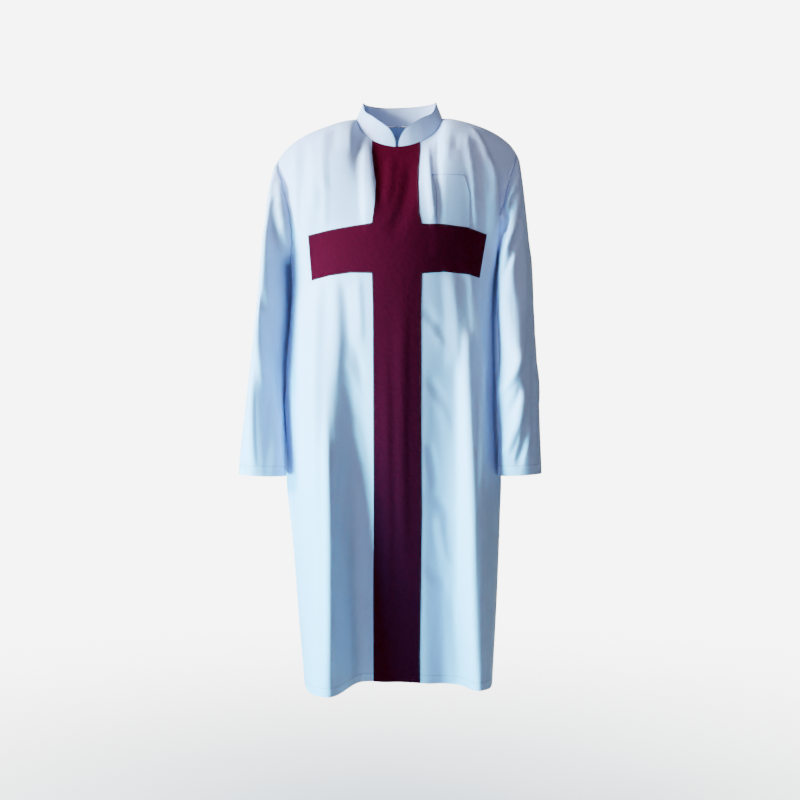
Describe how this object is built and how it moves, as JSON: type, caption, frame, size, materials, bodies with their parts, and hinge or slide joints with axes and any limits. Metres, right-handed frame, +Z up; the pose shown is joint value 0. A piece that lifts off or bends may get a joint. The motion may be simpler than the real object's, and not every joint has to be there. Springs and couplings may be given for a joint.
{
  "type": "tunic",
  "caption": "Long-sleeved calf-length white tunic in its worn, hollow form, with a stand collar, a chest patch pocket and a crimson Latin cross from neck seam to hem.",
  "frame": {"origin": "middle of the neck at the height of the shoulder seams' neck ends, where the wearer's neck and shoulders carry the tunic", "axes": "+Z up, the wearer faces -Y, +X towards the wearer's left"},
  "size_m": [0.6068, 0.3321, 1.1757],
  "materials": {
    "white_cloth": "plain-woven white cloth with a soft satin sheen",
    "crimson_cloth": "plain-woven crimson cloth, matt to softly satin"
  },
  "bodies": {
    "root": {"front_panel": "white_cloth", "back_panel": "white_cloth", "sleeve_right": "white_cloth", "sleeve_right_lower": "white_cloth", "sleeve_left": "white_cloth", "collar": "white_cloth", "chest_pocket": "white_cloth", "cross": "crimson_cloth"}
  },
  "joints": []
}
